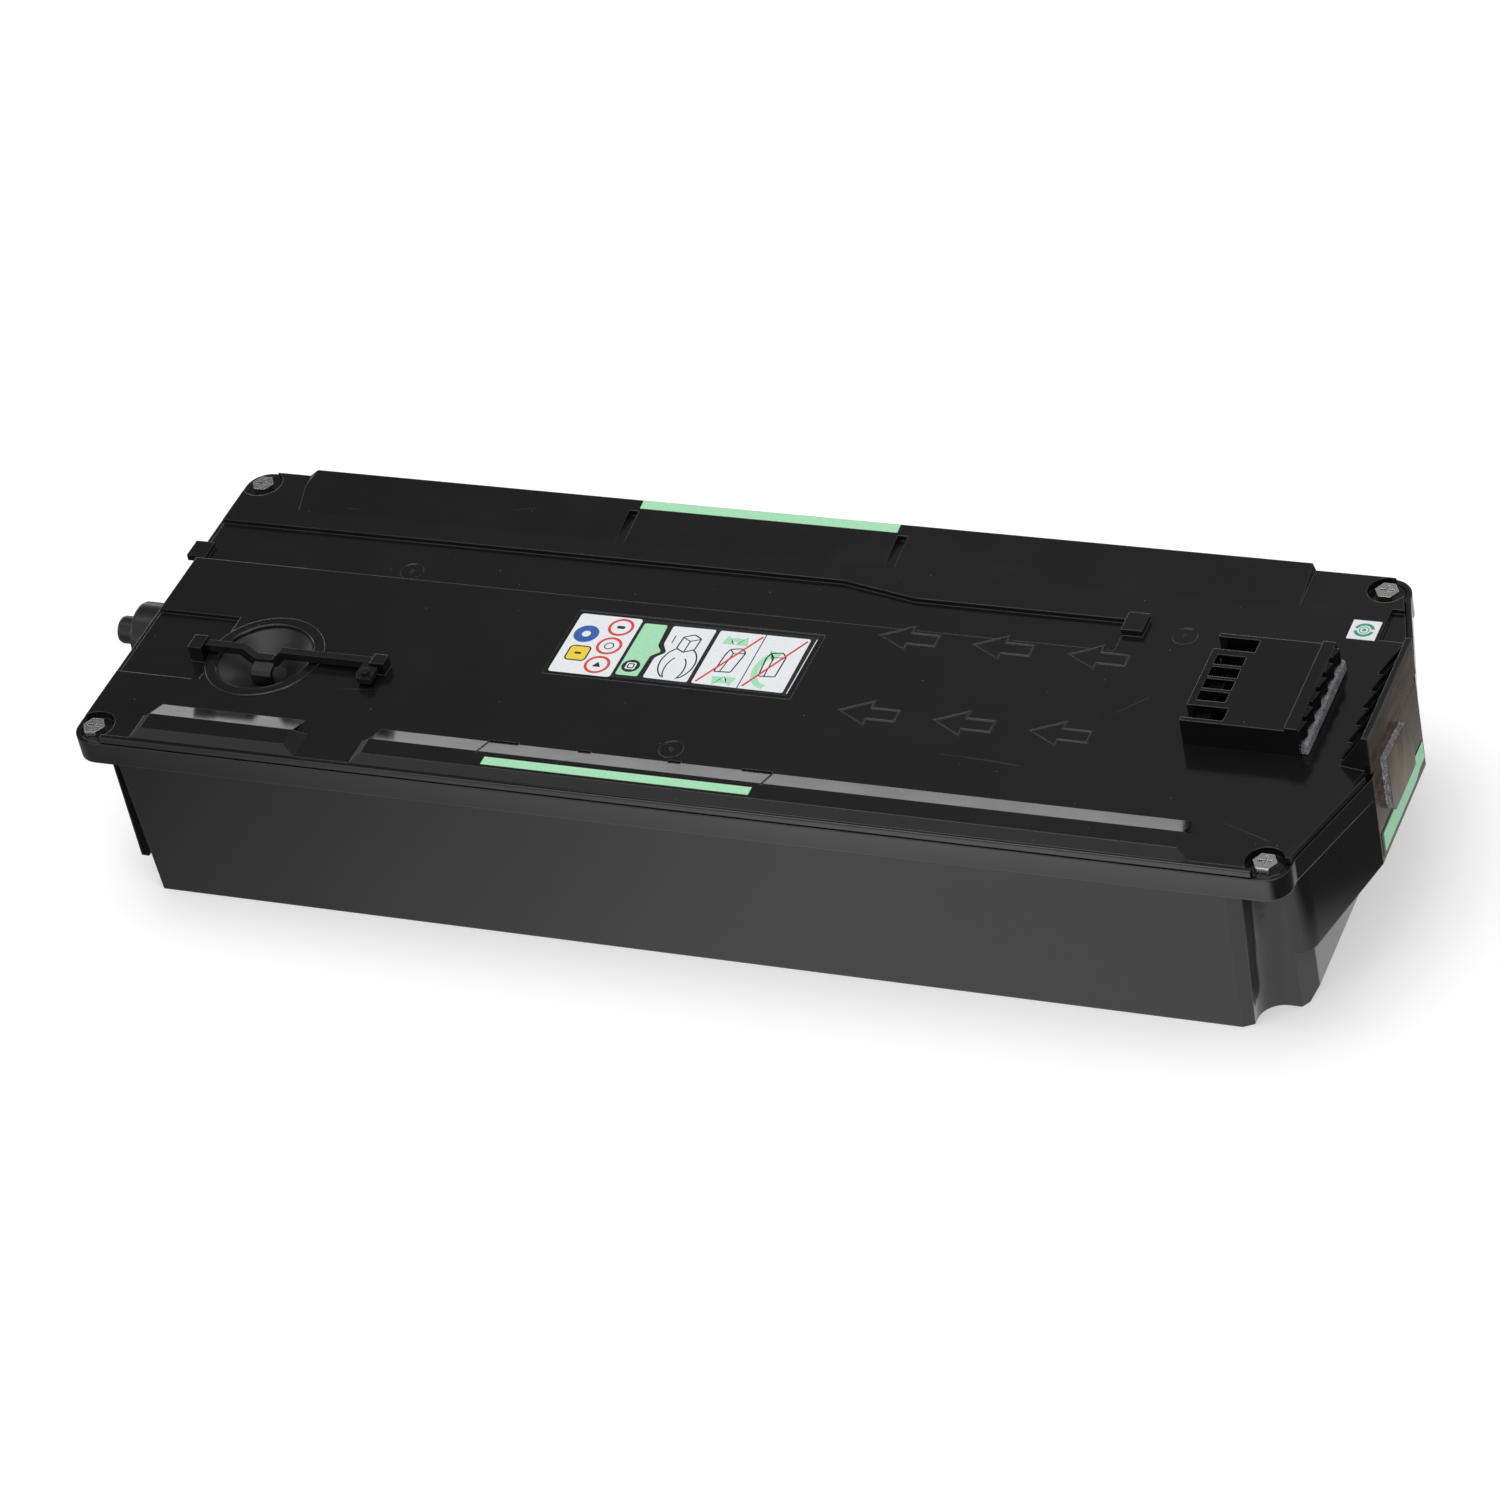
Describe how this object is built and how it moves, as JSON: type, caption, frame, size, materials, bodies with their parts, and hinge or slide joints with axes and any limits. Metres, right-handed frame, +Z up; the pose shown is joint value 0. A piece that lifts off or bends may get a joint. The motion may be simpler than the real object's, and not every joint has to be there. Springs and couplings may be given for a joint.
{
  "type": "waste toner bottle",
  "caption": "Black waste toner bottle for a colour copier: flanged tub, screwed cover, side drive coupling with inner auger, feeler lever over a rubber diaphragm.",
  "frame": {"origin": "on the flat bottom of the tub, midway between the screws of the cover", "axes": "+X along the bottle, away from the drive coupling; +Y to the rear; +Z up out of the cover"},
  "size_m": [0.4501, 0.1465, 0.08],
  "materials": {
    "tub_plastic": "fine moulded grain, satin",
    "cover_plastic": "smooth, semi-gloss",
    "zinc_steel": "zinc plated",
    "shaft_plastic": "natural acetal",
    "coupling_plastic": "satin",
    "lever_plastic": "smooth",
    "black_rubber": "matte",
    "grey_foam": "open-cell foam",
    "clear_film": "glossy film",
    "green_label": "satin print",
    "white_label": "satin print"
  },
  "bodies": {
    "bottle": {"lower_tub": "tub_plastic", "hanging_tongue": "tub_plastic", "cover_gasket": "grey_foam", "top_cover": "cover_plastic", "cover_screws": "zinc_steel", "shaft_bush": "shaft_plastic", "shaft_seal": "black_rubber", "end_bush": "shaft_plastic", "diaphragm": "black_rubber", "diaphragm_ring": "cover_plastic", "inlet_hood": "cover_plastic", "inlet_foam": "grey_foam", "end_pad_foam": "grey_foam", "end_pad_film": "clear_film", "end_strip_label": "green_label", "front_strip_label": "green_label", "rear_strip_label": "green_label", "instruction_label": "white_label", "small_label": "white_label"},
    "auger": {"auger_shaft": "shaft_plastic", "drive_coupling": "coupling_plastic"},
    "feeler": {"feeler_lever": "lever_plastic"}
  },
  "joints": [
    {"name": "auger_spin", "type": "hinge", "parent": "bottle", "child": "auger", "pos_m": [0, 0.002, 0.05], "axis": [1, 0, 0], "continuous": true},
    {"name": "feeler_tilt", "type": "hinge", "parent": "bottle", "child": "feeler", "pos_m": [-0.147, -0.0234, 0.0694], "axis": [-1, 0, 0], "range_deg": [0, 12]}
  ]
}
